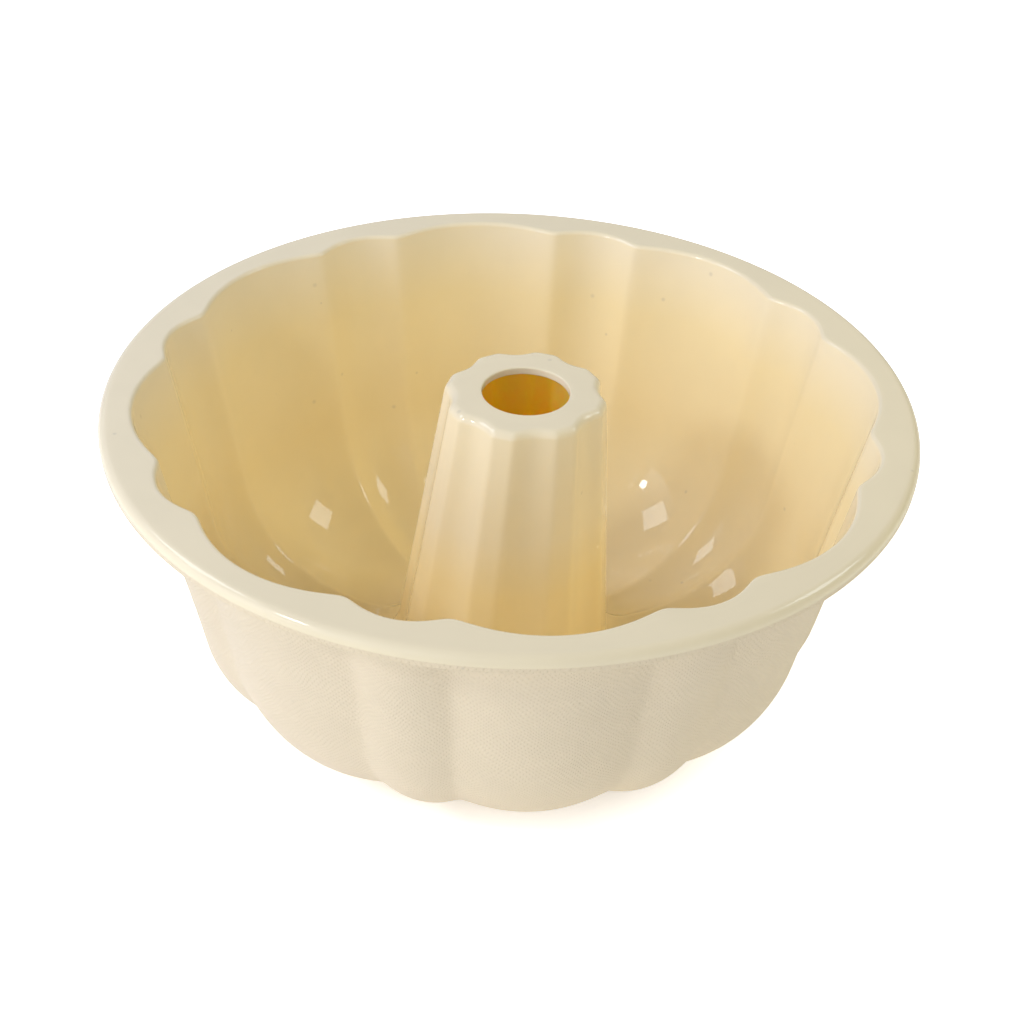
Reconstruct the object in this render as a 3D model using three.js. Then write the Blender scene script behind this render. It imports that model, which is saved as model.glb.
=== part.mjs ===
// Silicone ring cake mould: a fluted ring-shaped trough round a hollow tube, under a flat rim.
// Millimetres, +Z up. The origin is the middle of the mould's foot, on the surface it stands on.
//
// The whole moulding follows one crease line: the inside of the mould where two flutes would meet
// if their crease were sharp. From the rim it runs down the wall, round the corner arc, over the
// flat foot, round the tube's fillet and up the tube. Each flute is a shallow channel sunk behind
// that line, square to it, so it swells the wall outwards, the foot downwards and the tube
// inwards. The silicone skin lies behind the flutes at an even thickness.

import * as THREE from 'three';

// Overall sizes
const rimDiameter = 250;
const rimHeight = 105;
const tubeRise = 1.5;
const skin = 2.2;

// Flutes: a wide and a narrow one by turns. At the rim, the foot and the tube they have a depth
// behind the crease line, and round takes off the crease between them.
const flutePairs = 8;
const narrowFluteAngle = 15;
const fluteTurn = 30.4;
const rimFlutes = { wide: 6.5, narrow: 5.0, round: 2.8 };
const footFlutes = { wide: 3.4, narrow: 3.0, round: 1.4 };
const tubeFlutes = { wide: 2.3, narrow: 1.2, round: 0.8 };

// Rim
const rimWidth = 16.5;
const flangeThickness = 3.2;
const rimEdgeHeight = 5.5;
const rimTopRound = 2.8;
const rimBottomRound = 1.0;
const rimInnerRound = 1.6;

// Steel hoop in the rim
const hoopWire = 2.0;
const clearance = 0.3;

// Trough
const wallDraft = 10;
const footWidth = 5;
const footCut = 0.7;

// Centre tube
const tubeTopRadius = 25.9;
const tubeDraft = 6.3;
const tubeFillet = 12;
const tubeTopRound = 3.0;
const holeRadius = 13.6;
const holeRound = 0.6;
const capHeight = 7;

// Steps of the curved surfaces
const narrowSteps = 4;
const wideSteps = 8;
const cornerSteps = 6;
const filletSteps = 4;
const roundSteps = 3;
const holeSteps = 2;
const grooveSteps = 3;
const hoopSides = 8;

// Height left between a joint plane and the curve that starts below it
const jointMargin = 1.5;

// Angles, in degrees until they meet a sine or cosine
const rightAngle = 90;
const halfTurn = 180;
const fullTurn = 360;
const degree = Math.PI / halfTurn;

// Sizes that follow from the ones above
const rimRadius = rimDiameter / 2;
const wallRimRadius = rimRadius - rimWidth;
const tubeTop = rimHeight + tubeRise;
const partingHeight = rimHeight - flangeThickness;
const lipBottom = rimHeight - rimEdgeHeight;
const creaseFloor = skin + footFlutes.wide - footCut;
const wallSin = Math.sin(wallDraft * degree);
const wallCos = Math.cos(wallDraft * degree);
const tubeSin = Math.sin(tubeDraft * degree);
const tubeCos = Math.cos(tubeDraft * degree);

// Radius of the wall at a height, a given distance behind the crease line.
function wallRadius(height, behind) {
  return wallRimRadius - ((rimHeight - height) * wallSin) / wallCos + behind / wallCos;
}

// Radius of the tube at a height, a given distance behind the crease line.
function tubeRadius(height, behind) {
  return tubeTopRadius + ((tubeTop - height) * tubeSin) / tubeCos - behind / tubeCos;
}

// The tube's fillet touches the tube and the foot.
const filletCentre = { radius: 0, height: creaseFloor + tubeFillet };
filletCentre.radius = tubeRadius(filletCentre.height, 0) + tubeFillet / tubeCos;

// The corner arc touches the wall and the foot, and takes all the room between them.
const cornerCentre = { radius: filletCentre.radius + footWidth, height: 0 };
const cornerRun = (wallRimRadius - cornerCentre.radius) * wallCos;
const cornerDrop = (rimHeight - creaseFloor) * wallSin;
const cornerRadius = (cornerRun - cornerDrop) / (1 - wallSin);
cornerCentre.height = creaseFloor + cornerRadius;

// Level planes where the named regions of the moulding meet. The corner and the foot meet on an
// upright face below the corner's centre.
const wallFoot = cornerCentre.height - cornerRadius * wallSin + jointMargin;
const tubeFoot = filletCentre.height - tubeFillet * tubeSin + jointMargin;
const capFoot = tubeTop - capHeight;

// A turn round the axis, with its place across the narrow flute and across the wide one: 0 is a
// flute's middle and 1 its crease.
function stationAt(angle, fromNarrow) {
  const repeatAngle = fullTurn / flutePairs;
  const wideFluteAngle = repeatAngle - narrowFluteAngle;
  const narrowAcross = fromNarrow / (narrowFluteAngle / 2);
  const wideAcross = (repeatAngle / 2 - Math.abs(fromNarrow)) / (wideFluteAngle / 2);
  return { angle: angle * degree, narrowAcross, wideAcross };
}

// Every turn at which the moulding's section is drawn, with one on each crease.
function allStations() {
  const repeatAngle = fullTurn / flutePairs;
  const wideFluteAngle = repeatAngle - narrowFluteAngle;
  const stations = [];
  for (let pair = 0; pair < flutePairs; pair += 1) {
    const middle = fluteTurn + pair * repeatAngle;
    for (let step = 0; step < narrowSteps; step += 1) {
      const fromNarrow = narrowFluteAngle * (step / narrowSteps - 1 / 2);
      stations.push(stationAt(middle + fromNarrow, fromNarrow));
    }
    for (let step = 0; step < wideSteps; step += 1) {
      const turn = narrowFluteAngle / 2 + (wideFluteAngle * step) / wideSteps;
      const fromNarrow = turn > repeatAngle / 2 ? turn - repeatAngle : turn;
      stations.push(stationAt(middle + turn, fromNarrow));
    }
  }
  return stations;
}

const stations = allStations();

// Flutes part of the way from one place to another.
function flutesBetween(from, to, share) {
  const between = (size) => from[size] + (to[size] - from[size]) * share;
  return { wide: between('wide'), narrow: between('narrow'), round: between('round') };
}

// Depth behind the crease line at a station. Each flute is a parabola across its width. The deeper
// of the two counts, and near the crease one runs smoothly into the other.
function fluteDepth(station, flutes) {
  const narrow = flutes.narrow * (1 - station.narrowAcross ** 2);
  const wide = flutes.wide * (1 - station.wideAcross ** 2);
  return (narrow + wide + Math.hypot(narrow - wide, flutes.round)) / 2;
}

// Flute depth on the wall: it grows steadily from the corner to the rim.
function wallDepth(station, height) {
  const share = (height - wallFoot) / (rimHeight - wallFoot);
  return fluteDepth(station, flutesBetween(footFlutes, rimFlutes, share));
}

// Point on an arc in the radius and height plane.
function arcPoint(centre, radius, angle) {
  const turn = angle * degree;
  return [centre.radius + radius * Math.cos(turn), centre.height + radius * Math.sin(turn)];
}

// Points along an arc, both ends included.
function arc(centre, radius, fromAngle, toAngle, steps) {
  const points = [];
  for (let step = 0; step <= steps; step += 1) {
    points.push(arcPoint(centre, radius, fromAngle + ((toAngle - fromAngle) * step) / steps));
  }
  return points;
}

// A closed ring: the section at each station, joined to the next all the way round. Sections run
// counter-clockwise with the radius to the right and the height up.
function ringSolid(section) {
  const loops = stations.map(section);
  const count = loops[0].length;
  const positions = [];
  const index = [];
  loops.forEach((loop, turn) => {
    const next = (turn + 1) % loops.length;
    loop.forEach(([radius, height], point) => {
      const { angle } = stations[turn];
      positions.push(radius * Math.cos(angle), radius * Math.sin(angle), height);
      const after = (point + 1) % count;
      const corner = turn * count;
      const nextCorner = next * count;
      index.push(corner + point, nextCorner + point, nextCorner + after);
      index.push(corner + point, nextCorner + after, corner + after);
    });
  });
  const geometry = new THREE.BufferGeometry();
  geometry.setAttribute('position', new THREE.Float32BufferAttribute(positions, 3));
  geometry.setIndex(index);
  geometry.computeVertexNormals();
  return geometry;
}

// The lip hangs from the flange just outside the widest part of the wall. The hoop lies between
// the two, half in a groove of each. The groove's flats clear the wire by the clearance.
const widestFlute = Math.max(...stations.map((station) => wallDepth(station, partingHeight)));
const lipInnerRadius = wallRadius(partingHeight, widestFlute + skin) + clearance;
const hoopCentre = { radius: (lipInnerRadius + rimRadius) / 2, height: partingHeight };
const grooveRadius = (hoopWire / 2 + clearance) / Math.cos((rightAngle / grooveSteps) * degree);

// The round on the rim's outer edge stays within the flange.
const outerRound = Math.min(rimTopRound, flangeThickness - clearance);

// Flat rim: fluted and rounded at its inner edge, round at its outer edge, with the upper half of
// the hoop's groove in its underside.
function rimFlangeSection(station) {
  const innerCentre = { radius: 0, height: rimHeight - rimInnerRound };
  const innerDepth = wallDepth(station, innerCentre.height);
  innerCentre.radius = wallRadius(innerCentre.height, innerDepth) + rimInnerRound / wallCos;
  const outerCentre = { radius: rimRadius - outerRound, height: rimHeight - outerRound };
  return [
    [wallRadius(partingHeight, wallDepth(station, partingHeight)), partingHeight],
    ...arc(hoopCentre, grooveRadius, halfTurn, 0, grooveSteps),
    [rimRadius, partingHeight],
    ...arc(outerCentre, outerRound, 0, rightAngle, roundSteps),
    ...arc(innerCentre, rimInnerRound, rightAngle, halfTurn - wallDraft, roundSteps),
  ];
}

// Lip under the rim's outer edge, with the lower half of the hoop's groove in its top.
function rimLipSection() {
  const edgeCentre = { radius: rimRadius - rimBottomRound, height: lipBottom + rimBottomRound };
  return [
    [lipInnerRadius, lipBottom],
    ...arc(edgeCentre, rimBottomRound, -rightAngle, 0, roundSteps),
    [rimRadius, partingHeight],
    ...arc(hoopCentre, grooveRadius, 0, -halfTurn, grooveSteps),
    [lipInnerRadius, partingHeight],
  ];
}

// Steel wire hoop, a plain ring.
function hoopSolid() {
  const wireRadius = hoopWire / 2;
  const geometry = new THREE.TorusGeometry(hoopCentre.radius, wireRadius, hoopSides, stations.length);
  geometry.translate(0, 0, hoopCentre.height);
  return geometry;
}

// Fluted outer wall, from the corner of the trough up to the rim.
function flutedWallSection(station) {
  const low = wallDepth(station, wallFoot);
  const high = wallDepth(station, partingHeight);
  return [
    [wallRadius(wallFoot, low), wallFoot],
    [wallRadius(wallFoot, low + skin), wallFoot],
    [wallRadius(partingHeight, high + skin), partingHeight],
    [wallRadius(partingHeight, high), partingHeight],
  ];
}

// The flutes are cut flat at the foot, so the mould stands on level patches.
function cutFlat(points, behind) {
  const level = skin - behind;
  return points.map(([radius, height]) => [radius, Math.max(height, level)]);
}

// One face of the trough's corner, from the wall to the foot, a given distance behind the flutes.
function cornerFace(station, behind) {
  const offset = fluteDepth(station, footFlutes) + behind;
  const points = [[wallRadius(wallFoot, offset), wallFoot]];
  for (let step = 1; step <= cornerSteps; step += 1) {
    const angle = -wallDraft - ((rightAngle - wallDraft) * step) / cornerSteps;
    points.push(arcPoint(cornerCentre, cornerRadius + offset, angle));
  }
  return cutFlat(points, behind);
}

// One face of the foot and the fillet, from the corner to the tube.
function footFace(station, behind) {
  const cornerOffset = fluteDepth(station, footFlutes) + behind;
  const points = [arcPoint(cornerCentre, cornerRadius + cornerOffset, -rightAngle)];
  for (let step = 0; step < filletSteps; step += 1) {
    const share = step / filletSteps;
    const angle = -rightAngle - (rightAngle - tubeDraft) * share;
    const filletOffset = fluteDepth(station, flutesBetween(footFlutes, tubeFlutes, share)) + behind;
    points.push(arcPoint(filletCentre, tubeFillet + filletOffset, angle));
  }
  points.push([tubeRadius(tubeFoot, fluteDepth(station, tubeFlutes) + behind), tubeFoot]);
  return cutFlat(points, behind);
}

// Rounded corner of the trough, between the wall and the foot.
function troughCornerSection(station) {
  return [...cornerFace(station, skin).reverse(), ...cornerFace(station, 0)];
}

// Foot that the mould stands on, with the fillet that rises to the tube.
function troughFootSection(station) {
  return [...footFace(station, skin).reverse(), ...footFace(station, 0)];
}

// Fluted, tapered tube in the middle, open underneath.
function centreTubeSection(station) {
  const depth = fluteDepth(station, tubeFlutes);
  return [
    [tubeRadius(tubeFoot, depth + skin), tubeFoot],
    [tubeRadius(tubeFoot, depth), tubeFoot],
    [tubeRadius(capFoot, depth), capFoot],
    [tubeRadius(capFoot, depth + skin), capFoot],
  ];
}

// Top of the tube, with its rounded scalloped edge and the hole in its middle.
function tubeCapSection(station) {
  const depth = fluteDepth(station, tubeFlutes);
  const edgeCentre = { radius: 0, height: tubeTop - tubeTopRound };
  edgeCentre.radius = tubeRadius(edgeCentre.height, depth) - tubeTopRound / tubeCos;
  const holeCentre = { radius: holeRadius + holeRound, height: tubeTop - holeRound };
  const underside = tubeTop - skin;
  return [
    [tubeRadius(capFoot, depth + skin), capFoot],
    [tubeRadius(capFoot, depth), capFoot],
    ...arc(edgeCentre, tubeTopRound, tubeDraft, rightAngle, roundSteps),
    ...arc(holeCentre, holeRound, rightAngle, halfTurn, holeSteps),
    [holeRadius, underside],
    [tubeRadius(underside, depth + skin), underside],
  ];
}

// Finishes: the polished top, the glowing inside of the trough, the satin outside, and bare wire
const polishedCream = { color: 0xe9dfc9, roughness: 0.3, metalness: 0 };
const innerCream = { color: 0xe6d2a4, roughness: 0.4, metalness: 0 };
const satinCream = { color: 0xe4d8bf, roughness: 0.6, metalness: 0 };
const wireSteel = { color: 0xb9bcc0, roughness: 0.35, metalness: 1 };

function piece(name, geometry, finish) {
  const mesh = new THREE.Mesh(geometry, new THREE.MeshStandardMaterial(finish));
  mesh.name = name;
  return mesh;
}

const mould = new THREE.Group();
mould.add(piece('rim_flange', ringSolid(rimFlangeSection), polishedCream));
mould.add(piece('rim_lip', ringSolid(rimLipSection), satinCream));
mould.add(piece('rim_hoop', hoopSolid(), wireSteel));
mould.add(piece('fluted_wall', ringSolid(flutedWallSection), innerCream));
mould.add(piece('trough_corner', ringSolid(troughCornerSection), innerCream));
mould.add(piece('trough_foot', ringSolid(troughFootSection), innerCream));
mould.add(piece('centre_tube', ringSolid(centreTubeSection), innerCream));
mould.add(piece('tube_cap', ringSolid(tubeCapSection), polishedCream));

export default mould;
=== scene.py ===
import math

import bpy
import numpy as np
from mathutils import Matrix, Vector


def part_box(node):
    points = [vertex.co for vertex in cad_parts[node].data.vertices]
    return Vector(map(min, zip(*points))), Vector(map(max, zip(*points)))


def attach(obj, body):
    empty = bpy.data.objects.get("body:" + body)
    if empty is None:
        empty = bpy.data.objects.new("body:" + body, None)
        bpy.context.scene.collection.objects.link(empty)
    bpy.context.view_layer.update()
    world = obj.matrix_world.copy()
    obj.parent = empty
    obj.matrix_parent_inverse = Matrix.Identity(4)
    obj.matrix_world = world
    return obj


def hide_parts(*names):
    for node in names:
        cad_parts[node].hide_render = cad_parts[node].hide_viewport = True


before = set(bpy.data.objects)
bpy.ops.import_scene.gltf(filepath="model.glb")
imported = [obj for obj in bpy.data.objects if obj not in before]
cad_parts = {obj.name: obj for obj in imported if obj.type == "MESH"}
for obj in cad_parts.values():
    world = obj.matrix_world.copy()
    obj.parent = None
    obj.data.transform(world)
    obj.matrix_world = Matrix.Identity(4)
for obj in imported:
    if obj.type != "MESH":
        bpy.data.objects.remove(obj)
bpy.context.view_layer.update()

MM = 0.001
DEGREE = math.pi / 180
RIGHT_ANGLE = math.pi / 2
HALF_TURN = math.pi
FULL_TURN = 2 * math.pi

# Sizes that the frame gives
RIM_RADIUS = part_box("rim_flange")[1].x
RIM_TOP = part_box("rim_flange")[1].z
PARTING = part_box("rim_flange")[0].z
LIP_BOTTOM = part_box("rim_lip")[0].z
TUBE_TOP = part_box("tube_cap")[1].z

# Flutes: how many, where they lie, and (wide, narrow, round) behind the crease line at three places
FLUTE_PAIRS = 8
FLUTE_REPEAT = FULL_TURN / FLUTE_PAIRS
NARROW_FLUTE = 15 * DEGREE
FLUTE_TURN = 30.4 * DEGREE
RIM_FLUTES = np.array([6.5, 5.0, 2.8]) * MM
FOOT_FLUTES = np.array([3.4, 3.0, 1.4]) * MM
TUBE_FLUTES = np.array([2.7, 0.7, 1.7]) * MM

# Moulding
SKIN = 2.2 * MM
RIM_WIDTH = 16.5 * MM
RIM_TOP_ROUND = 2.8 * MM
RIM_BOTTOM_ROUND = 1.0 * MM
RIM_INNER_ROUND = 1.6 * MM
RIM_ROOT_ROUND = 1.6 * MM
PARTING_STEP = 0.12 * MM
WALL_DRAFT = 10 * DEGREE
FOOT_WIDTH = 5 * MM
FOOT_CUT = 0.7 * MM
FOOT_CUT_SOFTNESS = 0.25 * MM
FLOOR_CUT_SOFTNESS = 0.9 * MM
TUBE_TOP_RADIUS = 25.9 * MM
TUBE_DRAFT = 6.3 * DEGREE
TUBE_FILLET = 12 * MM
TUBE_TOP_ROUND = 3.0 * MM
HOLE_RADIUS = 13.6 * MM
CAP_THICKNESS = 2.6 * MM
HOLE_TOP_ROUND = 0.5 * MM
HOLE_BOTTOM_ROUND = 0.4 * MM
HOLLOW_ROUND = 1.5 * MM
TUBE_LEAN = 4.5 * MM

# Mesh: columns in each flute, how far they crowd towards its creases, and rows on each stretch
NARROW_COLUMNS = 20
WIDE_COLUMNS = 36
CROWDING = 0.6
UNDER_ROWS = {
    "hole": 2, "hole_round": 4, "cap": 3, "hollow_round": 5, "hollow": 7, "fillet": 10, "foot": 3,
    "corner": 22, "wall": 14, "root_round": 6, "lip": 4, "lip_round": 5, "lip_edge": 2,
}
POLISHED_ROWS = {
    "rim_edge": 2, "rim_round": 10, "rim": 8, "inner_round": 10, "wall": 18, "corner": 26, "foot": 4,
    "fillet": 16, "tube": 14, "tube_round": 12, "cap": 5, "hole_round": 6, "hole": 2,
}

# Finishes of the moulding, in the order of its materials
POLISHED = 0
TEXTURED = 1
HOLLOW = 2

# Silicone: creams, with painted shade in the low polished one and a painted glow in the hollow's, the rise
# over which the low one gives way to the high one, clouds and specks
RIM_CREAM = (0.94, 0.845, 0.62, 1)
# Painted shade: the trough's cream deepened to the gold that the shaded trough and lower walls take
SHADED_TROUGH_CREAM = (0.985, 0.84, 0.505, 1)
OUTSIDE_CREAM = (0.84, 0.73, 0.535, 1)
FOOT_CREAM = (0.84, 0.735, 0.555, 1)
# Painted glow: deep orange for the light that comes through the tube's skin into its hollow
HOLLOW_PAINTED_GLOW = (0.99, 0.68, 0.18, 1)
PALING_START = 46 * MM
PALING_END = 67 * MM
PALING_SLOPE = 0.42
CLOUD_SIZE = 30 * MM
CLOUD_DETAIL = 3.0
CLOUD_SHADE = 0.97
SPECK_GREY = (0.42, 0.39, 0.33, 1)
SPECK_SPACING = 14 * MM
SPECK_LEAST = 0.03
SPECK_MOST = 0.09
SPECK_HEART = 0.2
SPECK_STRENGTH = 0.24

# Silicone: depth of scattering, gloss and texture; a pair of roughnesses is for low and high noise
SILICONE_IOR = 1.43
SCATTER_COLOUR = (1.0, 0.4, 0.15)
SCATTER_DEPTH = 18 * MM
POLISHED_ROUGHNESS = (0.03, 0.07)
SMEAR_SIZE = 18 * MM
SMEAR_DETAIL = 4.0
WAVE_LENGTH = 30 * MM
WAVE_DETAIL = 1.0
WAVE_HEIGHT = 0.06 * MM
TEXTURED_ROUGHNESS = (0.58, 0.45)
TEXTURE_MAP = "texture_lattice"
TEXTURE_CELLS = 376
DOT_EDGE = -0.2
DOT_HEIGHT = 0.11 * MM
SWIRL_SIZE = 12 * MM
SWIRL_DETAIL = 1.0
SWIRL_CELLS = 3.0

# Hoop wire
STEEL_DARK = (0.5, 0.51, 0.53, 1)
STEEL_LIGHT = (0.68, 0.69, 0.71, 1)
STEEL_ROUGHNESS = (0.25, 0.4)
WIRE_LINE = 0.15 * MM
WIRE_LINE_DETAIL = 2.0
WIRE_LINE_DEPTH = 0.01 * MM

# Range that most of a noise texture's values lie in, and its middle on three axes
NOISE_LOW = 0.3
NOISE_HIGH = 0.7
NOISE_MIDDLE = (0.5, 0.5, 0.5)

# Camera: fitted to the rim and the flutes in the picture
CAMERA_DISTANCE = 557.7 * MM
CAMERA_ELEVATION = 32.216 * DEGREE
CAMERA_ROLL = 2.287 * DEGREE
PICTURE_SIDE = 1024
FOCAL_PIXELS = 1807.1
RIM_CENTRE_PIXEL = (511.31, 394.25)
SENSOR = 36.0
NEAREST_SEEN = 10 * MM

# Lights: azimuth, elevation and side of each softbox, and its radiance and colour
LIGHT_DISTANCE = 0.75
LIGHT_TARGET = Vector((0, 0, 0.06))
LIGHT_BOUNCES = 10
WHITE = (1, 1, 1)
LEFT_PLACE = (-83 * DEGREE, 45 * DEGREE, 0.26)
LEFT_LIGHT = 5.3
LEFT_COLOUR = (0.92, 1.01, 1.5)
RIGHT_PLACE = (86 * DEGREE, 40 * DEGREE, 0.23)
RIGHT_LIGHT = 7.0
RIGHT_COLOUR = (1.0, 0.91, 0.55)
MIRRORED_LIGHT = 4.6
MIRRORED_COLOUR = (0.9, 1.0, 1.08)
MIRRORED_DISTANCE = 0.99
KEY_PLACE = (-126 * DEGREE, 38 * DEGREE, 0.09)
KEY_LIGHT = 30.0

# Surround: an even radiance, and the azimuth, elevation and radiance of each wide panel
EVEN_LIGHT = 0.1
PANELS = (
    (0 * DEGREE, 12 * DEGREE, 0.65),
    (60 * DEGREE, 35 * DEGREE, 0.32),
    (95 * DEGREE, 12 * DEGREE, 0.28),
    (180 * DEGREE, 12 * DEGREE, 0.8),
    (-120 * DEGREE, 12 * DEGREE, 2.1),
    (0 * DEGREE, 90 * DEGREE, 0.14),
)
PANEL_FADE = 6.0

# Floor
FLOOR_HALF = 30.0
FLOOR_WHITE = (0.95, 0.95, 0.95, 1)
FLOOR_ROUGHNESS = 0.9
FLOOR_GLOW = 0.17
FLOOR_SEEN_GLOW = 0.9
FLOOR_GLOW_START = 40 * MM
FLOOR_GLOW_FULL = 115 * MM

# Sizes that follow
WALL_RIM_RADIUS = RIM_RADIUS - RIM_WIDTH
CREASE_FLOOR = SKIN + FOOT_FLUTES[0] - FOOT_CUT
CAP_UNDERSIDE = TUBE_TOP - CAP_THICKNESS
HOLE_MIDDLE = (TUBE_TOP + CAP_UNDERSIDE) / 2


def wall_radius(height, behind):
    """Radius of the sloping wall at a height, a distance behind its crease line."""
    return WALL_RIM_RADIUS - (RIM_TOP - height) * math.tan(WALL_DRAFT) + behind / math.cos(WALL_DRAFT)


def tube_radius(height, behind):
    """Radius of the tapered tube at a height, a distance behind its crease line."""
    return TUBE_TOP_RADIUS + (TUBE_TOP - height) * math.tan(TUBE_DRAFT) - behind / math.cos(TUBE_DRAFT)


# The tube's fillet touches the tube and the foot; the corner arc touches the wall and the foot.
FILLET_HEIGHT = CREASE_FLOOR + TUBE_FILLET
FILLET_RADIUS = tube_radius(FILLET_HEIGHT, 0) + TUBE_FILLET / math.cos(TUBE_DRAFT)
CORNER_RADIUS = FILLET_RADIUS + FOOT_WIDTH
CORNER_RUN = (WALL_RIM_RADIUS - CORNER_RADIUS) * math.cos(WALL_DRAFT)
CORNER_DROP = (RIM_TOP - CREASE_FLOOR) * math.sin(WALL_DRAFT)
CORNER_ARC = (CORNER_RUN - CORNER_DROP) / (1 - math.sin(WALL_DRAFT))
CORNER_HEIGHT = CREASE_FLOOR + CORNER_ARC
WALL_FOOT = CORNER_HEIGHT - CORNER_ARC * math.sin(WALL_DRAFT)


def flute_turns():
    """Turns round the axis for the mesh's columns, and their angles from the nearest narrow flute.

    Inside each flute a sine crowds the columns towards the two creases.
    """
    def crowded(start, width, count):
        share = np.arange(count) / count
        return start + width * (share - CROWDING * np.sin(FULL_TURN * share) / FULL_TURN)

    narrow = crowded(-NARROW_FLUTE / 2, NARROW_FLUTE, NARROW_COLUMNS)
    wide = crowded(NARROW_FLUTE / 2, FLUTE_REPEAT - NARROW_FLUTE, WIDE_COLUMNS)
    one_pair = np.concatenate([narrow, wide])
    from_narrow = np.where(one_pair > FLUTE_REPEAT / 2, one_pair - FLUTE_REPEAT, one_pair)
    turns = (FLUTE_TURN + one_pair[None, :] + FLUTE_REPEAT * np.arange(FLUTE_PAIRS)[:, None]).ravel()
    return turns, np.tile(from_narrow, FLUTE_PAIRS)


TURNS, FROM_NARROW = flute_turns()
WIDE_HALF = FLUTE_REPEAT / 2 - NARROW_FLUTE / 2
NARROW_BOW = 1 - (FROM_NARROW / (NARROW_FLUTE / 2)) ** 2
WIDE_BOW = 1 - ((FLUTE_REPEAT / 2 - np.abs(FROM_NARROW)) / WIDE_HALF) ** 2


def flute_depth(from_flutes, to_flutes, share):
    """Depth behind the crease line, part of the way from one set of flutes to another.

    Each flute is a parabola across its width, and the depth is the smooth maximum of the two:
    half of their sum plus the hypotenuse of their difference and the round.
    """
    wide, narrow, soft = (a + (b - a) * share for a, b in zip(from_flutes, to_flutes))
    narrow_depth = narrow * NARROW_BOW
    wide_depth = wide * WIDE_BOW
    return (narrow_depth + wide_depth + np.hypot(narrow_depth - wide_depth, soft)) / 2


FOOT_DEPTH = flute_depth(FOOT_FLUTES, FOOT_FLUTES, 0)
TUBE_DEPTH = flute_depth(TUBE_FLUTES, TUBE_FLUTES, 0)


def wall_depth(height):
    """Flute depth on the wall: it leaves the corner's depth gently and grows towards the rim."""
    share = np.clip((height - WALL_FOOT) / (RIM_TOP - WALL_FOOT), 0, 1)
    return flute_depth(FOOT_FLUTES, RIM_FLUTES, share**2 * (2 - share))


def shares(count):
    """Shares 0 to just under 1, one for each mesh row of a stretch; the next stretch starts at 1."""
    return (np.arange(count) / count)[:, None]


def line(start, end, count):
    """Straight stretch of the section from one (radius, height) to another."""
    share = shares(count)
    return tuple(a + (b - a) * share for a, b in zip(start, end))


def arc(centre, radius, start, end, count):
    """Stretch of the section on a circle about (radius, height) between two angles."""
    angle = start + (end - start) * shares(count)
    return centre[0] + radius * np.cos(angle), centre[1] + radius * np.sin(angle)


def stack(stretches):
    """Radius and height of every mesh row of a list of stretches, each filled out to all columns."""
    shape = (1, len(TURNS))
    radius = [np.broadcast_to(r, np.broadcast_shapes(r.shape, h.shape, shape)) for r, h in stretches]
    height = [np.broadcast_to(h, np.broadcast_shapes(r.shape, h.shape, shape)) for r, h in stretches]
    return np.vstack(radius), np.vstack(height)


def cut_foot(height, behind):
    """Smooth maximum of a height and the level that the flutes are cut to at the foot.

    It is softer on the polished side.
    """
    level = SKIN - behind
    softness = FOOT_CUT_SOFTNESS if behind else FLOOR_CUT_SOFTNESS
    return (height + level + np.hypot(height - level, softness)) / 2


def trough_rows(behind, rows):
    """Corner, foot and fillet of the trough, from the wall to the tube, a distance behind the flutes.

    The corner and the fillet are arcs about their centres whose radius is the crease line's, plus
    the flute depth, plus that distance. On the fillet the flutes ease from the foot's to the tube's.
    Both ends are included.
    """
    foot_height = CREASE_FLOOR - FOOT_DEPTH - behind
    corner = arc((CORNER_RADIUS, CORNER_HEIGHT), CORNER_ARC + FOOT_DEPTH + behind,
                 -WALL_DRAFT, -RIGHT_ANGLE, rows["corner"])
    foot = line((CORNER_RADIUS, foot_height), (FILLET_RADIUS, foot_height), rows["foot"])
    share = np.linspace(0, 1, rows["fillet"] + 1)[:, None]
    reach = TUBE_FILLET + flute_depth(FOOT_FLUTES, TUBE_FLUTES, share**2 * (3 - 2 * share)) + behind
    angle = -RIGHT_ANGLE - (RIGHT_ANGLE - TUBE_DRAFT) * share
    fillet = (FILLET_RADIUS + reach * np.cos(angle), FILLET_HEIGHT + reach * np.sin(angle))
    radius, height = stack([corner, foot, fillet])
    return radius, cut_foot(height, behind)


def tube_foot_point(behind):
    """Where the fillet ends and the straight tube starts, a distance behind the flutes."""
    reach = TUBE_FILLET + TUBE_DEPTH + behind
    return (FILLET_RADIUS - reach * math.cos(TUBE_DRAFT), FILLET_HEIGHT - reach * math.sin(TUBE_DRAFT))


def wall_stretch(start_height, end_height, behind, count):
    """Wall between two heights, with its flutes, a distance behind them."""
    height = start_height + (end_height - start_height) * shares(count)
    return wall_radius(height, wall_depth(height) + behind), height


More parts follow.
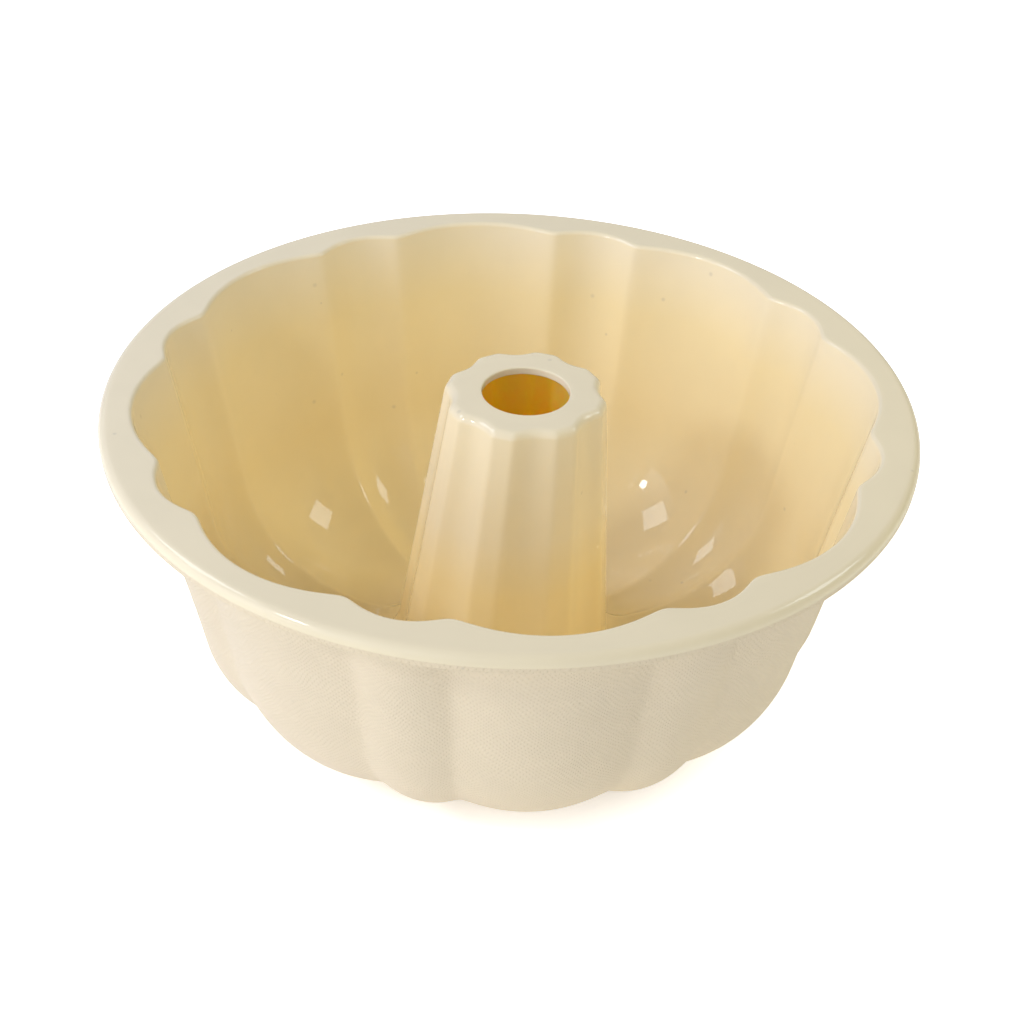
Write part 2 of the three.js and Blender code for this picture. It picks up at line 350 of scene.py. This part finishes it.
def under_stretches():
    """Unpolished side of the moulding, from the hole down the hollow, under the foot and up to the rim."""
    rows = UNDER_ROWS
    edge = HOLE_BOTTOM_ROUND
    hollow_height = CAP_UNDERSIDE - HOLLOW_ROUND
    hollow_radius = tube_radius(hollow_height, TUBE_DEPTH + SKIN) - HOLLOW_ROUND / math.cos(TUBE_DRAFT)
    hollow_end = (hollow_radius + HOLLOW_ROUND * math.cos(TUBE_DRAFT),
                  hollow_height + HOLLOW_ROUND * math.sin(TUBE_DRAFT))
    trough_radius, trough_height = trough_rows(SKIN, rows)
    corner_top = CORNER_HEIGHT - (CORNER_ARC + FOOT_DEPTH + SKIN) * math.sin(WALL_DRAFT)
    root_height = LIP_BOTTOM - RIM_ROOT_ROUND
    wall_back = wall_radius(root_height, wall_depth(root_height) + SKIN)
    root_radius = wall_back + RIM_ROOT_ROUND / math.cos(WALL_DRAFT)
    root_start = root_height + RIM_ROOT_ROUND * math.sin(WALL_DRAFT)
    lip_radius = RIM_RADIUS - PARTING_STEP
    return [
        line((HOLE_RADIUS, HOLE_MIDDLE), (HOLE_RADIUS, CAP_UNDERSIDE + edge), rows["hole"]),
        arc((HOLE_RADIUS + edge, CAP_UNDERSIDE + edge), edge,
            HALF_TURN, HALF_TURN + RIGHT_ANGLE, rows["hole_round"]),
        line((HOLE_RADIUS + edge, CAP_UNDERSIDE), (hollow_radius, CAP_UNDERSIDE), rows["cap"]),
        arc((hollow_radius, hollow_height), HOLLOW_ROUND, RIGHT_ANGLE, TUBE_DRAFT, rows["hollow_round"]),
        line(hollow_end, tube_foot_point(SKIN), rows["hollow"]),
        (trough_radius[:0:-1], trough_height[:0:-1]),
        wall_stretch(corner_top, root_start, SKIN, rows["wall"]),
        arc((root_radius, root_height), RIM_ROOT_ROUND,
            HALF_TURN - WALL_DRAFT, RIGHT_ANGLE, rows["root_round"]),
        line((root_radius, LIP_BOTTOM), (lip_radius - RIM_BOTTOM_ROUND, LIP_BOTTOM), rows["lip"]),
        arc((lip_radius - RIM_BOTTOM_ROUND, LIP_BOTTOM + RIM_BOTTOM_ROUND), RIM_BOTTOM_ROUND,
            -RIGHT_ANGLE, 0, rows["lip_round"]),
        line((lip_radius, LIP_BOTTOM + RIM_BOTTOM_ROUND), (lip_radius, PARTING), rows["lip_edge"]),
    ]


def polished_stretches():
    """Polished side of the moulding, from the rim's edge over the rim, down the trough and up the tube."""
    rows = POLISHED_ROWS
    inner_height = RIM_TOP - RIM_INNER_ROUND
    wall_front = wall_radius(inner_height, wall_depth(inner_height))
    inner_radius = wall_front + RIM_INNER_ROUND / math.cos(WALL_DRAFT)
    wall_top = inner_height + RIM_INNER_ROUND * math.sin(WALL_DRAFT)
    corner_top = CORNER_HEIGHT - (CORNER_ARC + FOOT_DEPTH) * math.sin(WALL_DRAFT)
    edge_height = TUBE_TOP - TUBE_TOP_ROUND
    edge_radius = tube_radius(edge_height, TUBE_DEPTH) - TUBE_TOP_ROUND / math.cos(TUBE_DRAFT)
    tube_end = (edge_radius + TUBE_TOP_ROUND * math.cos(TUBE_DRAFT),
                edge_height + TUBE_TOP_ROUND * math.sin(TUBE_DRAFT))
    hole_edge = (HOLE_RADIUS + HOLE_TOP_ROUND, TUBE_TOP - HOLE_TOP_ROUND)
    trough_radius, trough_height = trough_rows(0, rows)
    return [
        line((RIM_RADIUS, PARTING), (RIM_RADIUS, RIM_TOP - RIM_TOP_ROUND), rows["rim_edge"]),
        arc((RIM_RADIUS - RIM_TOP_ROUND, RIM_TOP - RIM_TOP_ROUND), RIM_TOP_ROUND,
            0, RIGHT_ANGLE, rows["rim_round"]),
        line((RIM_RADIUS - RIM_TOP_ROUND, RIM_TOP), (inner_radius, RIM_TOP), rows["rim"]),
        arc((inner_radius, inner_height), RIM_INNER_ROUND,
            RIGHT_ANGLE, HALF_TURN - WALL_DRAFT, rows["inner_round"]),
        wall_stretch(wall_top, corner_top, 0, rows["wall"]),
        (trough_radius[:-1], trough_height[:-1]),
        line(tube_foot_point(0), tube_end, rows["tube"]),
        arc((edge_radius, edge_height), TUBE_TOP_ROUND, TUBE_DRAFT, RIGHT_ANGLE, rows["tube_round"]),
        line((edge_radius, TUBE_TOP), (HOLE_RADIUS + HOLE_TOP_ROUND, TUBE_TOP), rows["cap"]),
        arc(hole_edge, HOLE_TOP_ROUND, RIGHT_ANGLE, HALF_TURN, rows["hole_round"]),
        line((HOLE_RADIUS, TUBE_TOP - HOLE_TOP_ROUND), (HOLE_RADIUS, HOLE_MIDDLE), rows["hole"]),
    ]


def lattice_map(radius, height):
    """Turn and travel of every mesh column and row, counted in texture cells, with the closing ones.

    The cells go round a whole number of times. Travel along the section grows by step over radius,
    so a cell stays as long as it is wide.
    """
    mean_radius = radius.mean(axis=1)
    mean_height = height.mean(axis=1)
    outward = np.diff(mean_radius, append=mean_radius[:1])
    upward = np.diff(mean_height, append=mean_height[:1])
    travel = np.concatenate([[0], np.cumsum(np.hypot(outward, upward) / mean_radius)])
    turn = np.append(TURNS, TURNS[0] + FULL_TURN)
    return turn * TEXTURE_CELLS / FULL_TURN, travel * TEXTURE_CELLS / FULL_TURN


def tube_lean(radius, height):
    """Sideways shift of the soft tube: none at the foot, growing evenly to the whole lean at the top."""
    share = np.clip((height - FILLET_HEIGHT) / (TUBE_TOP - FILLET_HEIGHT), 0, 1)
    return np.where(radius < FILLET_RADIUS, TUBE_LEAN * share, 0)


def put(name, data):
    """New object in the scene, at the origin, that shows a mesh, a light or a camera."""
    made = bpy.data.objects.new(name, data)
    bpy.context.scene.collection.objects.link(made)
    return made


def mould_body(polished, textured, hollow):
    """The whole silicone moulding as one closed skin.

    A closed section of rows is carried round the axis through every column. Each point is
    (radius cos turn + lean, radius sin turn, height), and each face joins two rows and two columns.
    """
    under_radius, under_height = stack(under_stretches())
    top_radius, top_height = stack(polished_stretches())
    radius = np.vstack([under_radius, top_radius])
    height = np.vstack([under_height, top_height])
    rows, columns = radius.shape
    across = radius * np.cos(TURNS) + tube_lean(radius, height)
    points = np.stack([across, radius * np.sin(TURNS), height], axis=-1)

    row, column = np.meshgrid(np.arange(rows), np.arange(columns), indexing="ij")
    corner_row = np.stack([row, row, row + 1, row + 1], axis=-1)
    corner_column = np.stack([column, column + 1, column + 1, column], axis=-1)
    corners = corner_row % rows * columns + corner_column % columns

    mesh = bpy.data.meshes.new("mould_body")
    mesh.from_pydata(points.reshape(-1, 3), [], corners.reshape(-1, 4))
    mesh.polygons.foreach_set("use_smooth", np.ones(rows * columns, bool))
    for material in (polished, textured, hollow):
        mesh.materials.append(material)
    tube_finish = np.where(height > CAP_UNDERSIDE, POLISHED, HOLLOW)
    under_finish = np.where(radius < FILLET_RADIUS, tube_finish, TEXTURED)
    finish = np.where(row < len(under_radius), under_finish, POLISHED)
    mesh.polygons.foreach_set("material_index", finish.astype(np.int32).ravel())
    turn, travel = lattice_map(radius, height)
    lattice = np.stack([turn[corner_column], travel[corner_row]], axis=-1)
    mesh.uv_layers.new(name=TEXTURE_MAP).data.foreach_set("uv", lattice.astype(np.float32).ravel())
    mesh.update()
    return put("mould_body", mesh)


def add(tree, kind, inputs=None, **settings):
    """New shader node; each named or numbered input is linked to a socket or set to a value."""
    made = tree.nodes.new(kind)
    for name, value in settings.items():
        setattr(made, name, value)
    for name, value in (inputs or {}).items():
        if isinstance(value, bpy.types.NodeSocket):
            tree.links.new(value, made.inputs[name])
        else:
            made.inputs[name].default_value = value
    return made


def math_node(tree, operation, first, second=0.0):
    """Result of one sum or function of two values."""
    return add(tree, "ShaderNodeMath", {0: first, 1: second}, operation=operation).outputs[0]


def vector_node(tree, operation, inputs):
    """Outputs of one sum or function of vectors."""
    return add(tree, "ShaderNodeVectorMath", inputs, operation=operation).outputs


def ramp(tree, value, low, high, to_low, to_high, easing="SMOOTHSTEP"):
    """Value carried from one range to another, held at both ends."""
    made = add(tree, "ShaderNodeMapRange", {0: value, 1: low, 2: high, 3: to_low, 4: to_high},
               interpolation_type=easing)
    return made.outputs[0]


def noise(tree, place, size, detail):
    """Outputs of a noise texture whose largest features are about one size."""
    inputs = {"Vector": place, "Scale": 1 / size, "Detail": detail}
    return add(tree, "ShaderNodeTexNoise", inputs).outputs


def uneven(tree, value, low, high):
    """Noise carried from the range that most of it lies in to another range."""
    return ramp(tree, value, NOISE_LOW, NOISE_HIGH, low, high)


def mix_colour(tree, share, first, second):
    """Colour part of the way from the first to the second."""
    made = add(tree, "ShaderNodeMix", {0: share, 6: first, 7: second}, data_type="RGBA")
    return made.outputs[2]


def object_place(tree):
    """Place on the piece in Object coordinates."""
    return add(tree, "ShaderNodeTexCoord").outputs["Object"]


def radius_and_height(tree, place):
    """Distance from the mould's axis, and height, of a place in Object coordinates."""
    axes = add(tree, "ShaderNodeSeparateXYZ", {0: place}).outputs
    level = add(tree, "ShaderNodeCombineXYZ", {0: axes[0], 1: axes[1]}).outputs[0]
    return vector_node(tree, "LENGTH", {0: level})["Value"], axes[2]


def raise_bump(tree, shader, height, distance):
    """Bump on a shader: a height of 1 rises by the distance."""
    bump = add(tree, "ShaderNodeBump", {"Height": height, "Distance": distance})
    tree.links.new(bump.outputs["Normal"], shader.inputs["Normal"])


def new_material(name):
    """New material, with its node tree and its Principled shader."""
    material = bpy.data.materials.new(name)
    material.use_nodes = True
    tree = material.node_tree
    return material, tree, tree.nodes["Principled BSDF"]


def pigment_shade_glow_group():
    """Cream pigment of all three finishes, with painted shade and painted glow, as a node group on Object
    coordinates.

    The cream pales from the low one to the high one with height, less a share of the distance from
    the axis up to the rim, so the tube pales sooner than the wall. On the polished side the low,
    golden cream is painted shade of the trough and lower walls; in the hollow the high, orange colour
    is a painted glow. Low noise clouds it a little.
    A small ball round the middle of some Voronoi cells is a soft grey speck.
    """
    group = bpy.data.node_groups.new("cream_pigment_shade_and_glow", "ShaderNodeTree")
    for name in ("Low Colour", "High Colour", "Speck"):
        group.interface.new_socket(name, in_out="INPUT", socket_type="NodeSocketColor")
    group.interface.new_socket("Colour", in_out="OUTPUT", socket_type="NodeSocketColor")
    given = add(group, "NodeGroupInput").outputs
    place = object_place(group)
    cloud = noise(group, place, CLOUD_SIZE, CLOUD_DETAIL)["Fac"]
    shade = uneven(group, cloud, CLOUD_SHADE, 1.0)
    radius, height = radius_and_height(group, place)
    held_radius = math_node(group, "MINIMUM", radius, WALL_RIM_RADIUS)
    inward = math_node(group, "SUBTRACT", TUBE_TOP_RADIUS, held_radius)
    rise = math_node(group, "ADD", height, math_node(group, "MULTIPLY", inward, PALING_SLOPE))
    # Painted shade and glow: the low colour holds below the rise and the high one above it
    paleness = ramp(group, rise, PALING_START, PALING_END, 0.0, 1.0, "LINEAR")
    cream_shade_and_glow = mix_colour(group, paleness, given["Low Colour"], given["High Colour"])
    cells = add(group, "ShaderNodeTexVoronoi", {"Vector": place, "Scale": 1 / SPECK_SPACING}).outputs
    chance = add(group, "ShaderNodeSeparateColor", {0: cells["Color"]}).outputs[0]
    size = ramp(group, chance, 0.0, 1.0, SPECK_LEAST, SPECK_MOST, "LINEAR")
    nearness = math_node(group, "DIVIDE", cells["Distance"], size)
    speck_share = ramp(group, nearness, SPECK_HEART, 1.0, SPECK_STRENGTH, 0.0)
    clouded = vector_node(group, "SCALE", {0: cream_shade_and_glow, "Scale": shade})[0]
    specked = mix_colour(group, speck_share, clouded, given["Speck"])
    add(group, "NodeGroupOutput", {"Colour": specked})
    return group


def silicone(name, pigment_shade_and_glow, low_colour, high_colour):
    """Material with the cream pigment, its painted shade and painted glow, and the gloss of silicone."""
    material, tree, shader = new_material(name)
    colours = {"Low Colour": low_colour, "High Colour": high_colour, "Speck": SPECK_GREY}
    paint = add(tree, "ShaderNodeGroup", colours, node_tree=pigment_shade_and_glow)
    tree.links.new(paint.outputs["Colour"], shader.inputs["Base Color"])
    shader.inputs["IOR"].default_value = SILICONE_IOR
    return material, tree, shader


def polished_silicone(pigment_shade_and_glow):
    """Glossy silicone from a polished tool: smooth, with faint waves and slightly uneven gloss."""
    # Its low colour is painted shade of the trough and lower walls
    material, tree, shader = silicone("polished_silicone", pigment_shade_and_glow, SHADED_TROUGH_CREAM, RIM_CREAM)
    place = object_place(tree)
    smear = noise(tree, place, SMEAR_SIZE, SMEAR_DETAIL)["Fac"]
    tree.links.new(uneven(tree, smear, *POLISHED_ROUGHNESS), shader.inputs["Roughness"])
    wave = noise(tree, place, WAVE_LENGTH, WAVE_DETAIL)["Fac"]
    raise_bump(tree, shader, wave, WAVE_HEIGHT)
    return material


def textured_silicone(pigment_shade_and_glow):
    """Satin silicone with a fine lattice of raised dots.

    The dots are the tops of cosine of turn times cosine of travel on the mould's own map, and noise
    bends the rows so that they swirl.
    """
    material, tree, shader = silicone("textured_silicone", pigment_shade_and_glow, FOOT_CREAM, OUTSIDE_CREAM)
    swirl = noise(tree, object_place(tree), SWIRL_SIZE, SWIRL_DETAIL)["Color"]
    bend = vector_node(tree, "SUBTRACT", {0: swirl, 1: NOISE_MIDDLE})[0]
    reach = vector_node(tree, "SCALE", {0: bend, "Scale": SWIRL_CELLS})[0]
    cells = add(tree, "ShaderNodeUVMap", uv_map=TEXTURE_MAP).outputs["UV"]
    bent = vector_node(tree, "ADD", {0: cells, 1: reach})[0]
    axes = add(tree, "ShaderNodeSeparateXYZ", {0: bent}).outputs
    across, along = (math_node(tree, "COSINE", math_node(tree, "MULTIPLY", axis, FULL_TURN))
                     for axis in axes[:2])
    dots = ramp(tree, math_node(tree, "MULTIPLY", across, along), DOT_EDGE, 1.0, 0.0, 1.0)
    raise_bump(tree, shader, dots, DOT_HEIGHT)
    tree.links.new(ramp(tree, dots, 0.0, 1.0, *TEXTURED_ROUGHNESS), shader.inputs["Roughness"])
    return material


def hollow_silicone(pigment_shade_and_glow):
    """Satin silicone inside the tube, which scatters light under its surface; its colour rises to a
    painted orange glow that stands in for the light which comes through the skin.
    """
    material, tree, shader = silicone("hollow_silicone", pigment_shade_and_glow, FOOT_CREAM, HOLLOW_PAINTED_GLOW)
    smear = noise(tree, object_place(tree), SMEAR_SIZE, SMEAR_DETAIL)["Fac"]
    tree.links.new(uneven(tree, smear, *TEXTURED_ROUGHNESS), shader.inputs["Roughness"])
    shader.inputs["Subsurface Weight"].default_value = 1.0
    shader.inputs["Subsurface Radius"].default_value = SCATTER_COLOUR
    shader.inputs["Subsurface Scale"].default_value = SCATTER_DEPTH
    return material


def drawn_steel():
    """Drawn steel wire: fine lines that run round the hoop, as noise on its radius and height alone."""
    material, tree, shader = new_material("drawn_steel")
    radius, height = radius_and_height(tree, object_place(tree))
    section = add(tree, "ShaderNodeCombineXYZ", {0: radius, 2: height}).outputs[0]
    lines = noise(tree, section, WIRE_LINE, WIRE_LINE_DETAIL)["Fac"]
    shade = mix_colour(tree, lines, STEEL_DARK, STEEL_LIGHT)
    tree.links.new(shade, shader.inputs["Base Color"])
    tree.links.new(uneven(tree, lines, *STEEL_ROUGHNESS), shader.inputs["Roughness"])
    raise_bump(tree, shader, lines, WIRE_LINE_DEPTH)
    shader.inputs["Metallic"].default_value = 1.0
    return material


def camera():
    """Camera in front of the mould, aimed so that the rim's centre lands on its pixel."""
    forward = Vector((0, math.cos(CAMERA_ELEVATION), -math.sin(CAMERA_ELEVATION)))
    level = Vector((1, 0, 0))
    upright = level.cross(forward)
    right = math.cos(CAMERA_ROLL) * level + math.sin(CAMERA_ROLL) * upright
    up = math.cos(CAMERA_ROLL) * upright - math.sin(CAMERA_ROLL) * level
    middle = PICTURE_SIDE / 2
    off_right = (RIM_CENTRE_PIXEL[0] - middle) / FOCAL_PIXELS
    off_up = (middle - RIM_CENTRE_PIXEL[1]) / FOCAL_PIXELS
    tilt = Vector((0, 0, 1)).rotation_difference(Vector((off_right, off_up, 1))).to_matrix()
    facing = tilt @ Matrix((right, up, forward))
    data = bpy.data.cameras.new("camera")
    data.sensor_width = SENSOR
    data.lens = SENSOR * FOCAL_PIXELS / PICTURE_SIDE
    data.clip_start = NEAREST_SEEN
    seen = put("camera", data)
    place = Vector((0, 0, RIM_TOP)) - CAMERA_DISTANCE * forward
    turn = Matrix((facing[0], facing[1], -facing[2])).transposed()
    seen.matrix_world = Matrix.Translation(place) @ turn.to_4x4()
    bpy.context.scene.camera = seen


def floor():
    """Plain white floor that glows a little, as a light table does, except under the mould.

    The camera sees it brighter than the mould does, as an overexposed white ground.
    """
    mesh = bpy.data.meshes.new("floor")
    half = FLOOR_HALF
    corners = [(-half, -half, 0), (half, -half, 0), (half, half, 0), (-half, half, 0)]
    mesh.from_pydata(corners, [], [(0, 1, 2, 3)])
    ground = put("floor", mesh)
    material, tree, shader = new_material("floor_white")
    shader.inputs["Base Color"].default_value = FLOOR_WHITE
    shader.inputs["Roughness"].default_value = FLOOR_ROUGHNESS
    shader.inputs["Emission Strength"].default_value = 1.0
    distance = vector_node(tree, "LENGTH", {0: object_place(tree)})["Value"]
    open_floor = ramp(tree, distance, FLOOR_GLOW_START, FLOOR_GLOW_FULL, 0.0, 1.0)
    seen = add(tree, "ShaderNodeLightPath").outputs["Is Camera Ray"]
    glow = ramp(tree, seen, 0.0, 1.0, FLOOR_GLOW, FLOOR_SEEN_GLOW, "LINEAR")
    tree.links.new(math_node(tree, "MULTIPLY", open_floor, glow), shader.inputs["Emission Color"])
    mesh.materials.append(material)


def toward(azimuth, elevation):
    """Direction from the mould: azimuth 0 is behind it and 90 degrees at its right."""
    level = math.cos(elevation)
    return Vector((level * math.sin(azimuth), level * math.cos(azimuth), math.sin(elevation)))


def softbox(name, place, radiance, colour=WHITE, nearness=1):
    """Square area light that faces the mould, at a share of the lights' distance from it."""
    azimuth, elevation, side = place
    way = toward(azimuth, elevation)
    data = bpy.data.lights.new(name, "AREA")
    data.shape = "SQUARE"
    data.size = side
    data.energy = radiance * math.pi * side**2
    data.color = colour
    lamp = put(name, data)
    lamp.location = LIGHT_TARGET + nearness * LIGHT_DISTANCE * way
    lamp.rotation_euler = (-way).to_track_quat("-Z", "Y").to_euler()
    return lamp


def side_softbox(name, place, radiance, colour):
    """Softbox in two lamps: the wash that it throws, and before it the image that the polish mirrors."""
    wash = softbox(name + "_wash", place, radiance, colour)
    wash.visible_glossy = False
    image = softbox(name + "_image", place, MIRRORED_LIGHT, MIRRORED_COLOUR, MIRRORED_DISTANCE)
    image.visible_diffuse = False


def surround():
    """White studio: an even light, and wide soft panels that fade as a power of the angle's cosine."""
    world = bpy.data.worlds.new("white_surround")
    world.use_nodes = True
    tree = world.node_tree
    direction = add(tree, "ShaderNodeTexCoord").outputs["Generated"]
    light = EVEN_LIGHT
    for azimuth, elevation, radiance in PANELS:
        way = toward(azimuth, elevation)
        cosine = vector_node(tree, "DOT_PRODUCT", {0: direction, 1: way})["Value"]
        facing = math_node(tree, "MAXIMUM", cosine, 0.0)
        panel = math_node(tree, "MULTIPLY", math_node(tree, "POWER", facing, PANEL_FADE), radiance)
        light = math_node(tree, "ADD", panel, light)
    background = tree.nodes["Background"].inputs
    background["Color"].default_value = (*WHITE, 1)
    tree.links.new(light, background["Strength"])
    bpy.context.scene.world = world


def studio():
    """Two softboxes at the sides, a small bright key at the front left, and the surround."""
    bpy.context.scene.view_settings.view_transform = "Standard"
    bpy.context.scene.cycles.diffuse_bounces = LIGHT_BOUNCES
    surround()
    side_softbox("left_softbox", LEFT_PLACE, LEFT_LIGHT, LEFT_COLOUR)
    side_softbox("right_softbox", RIGHT_PLACE, RIGHT_LIGHT, RIGHT_COLOUR)
    softbox("key_light", KEY_PLACE, KEY_LIGHT)


pigment_shade_and_glow = pigment_shade_glow_group()
body = mould_body(
    polished_silicone(pigment_shade_and_glow),
    textured_silicone(pigment_shade_and_glow),
    hollow_silicone(pigment_shade_and_glow),
)
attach(body, "root")
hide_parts("rim_flange", "rim_lip", "fluted_wall", "trough_corner", "trough_foot",
            "centre_tube", "tube_cap")

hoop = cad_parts["rim_hoop"]
hoop.data.materials.clear()
hoop.data.materials.append(drawn_steel())

camera()
floor()
studio()
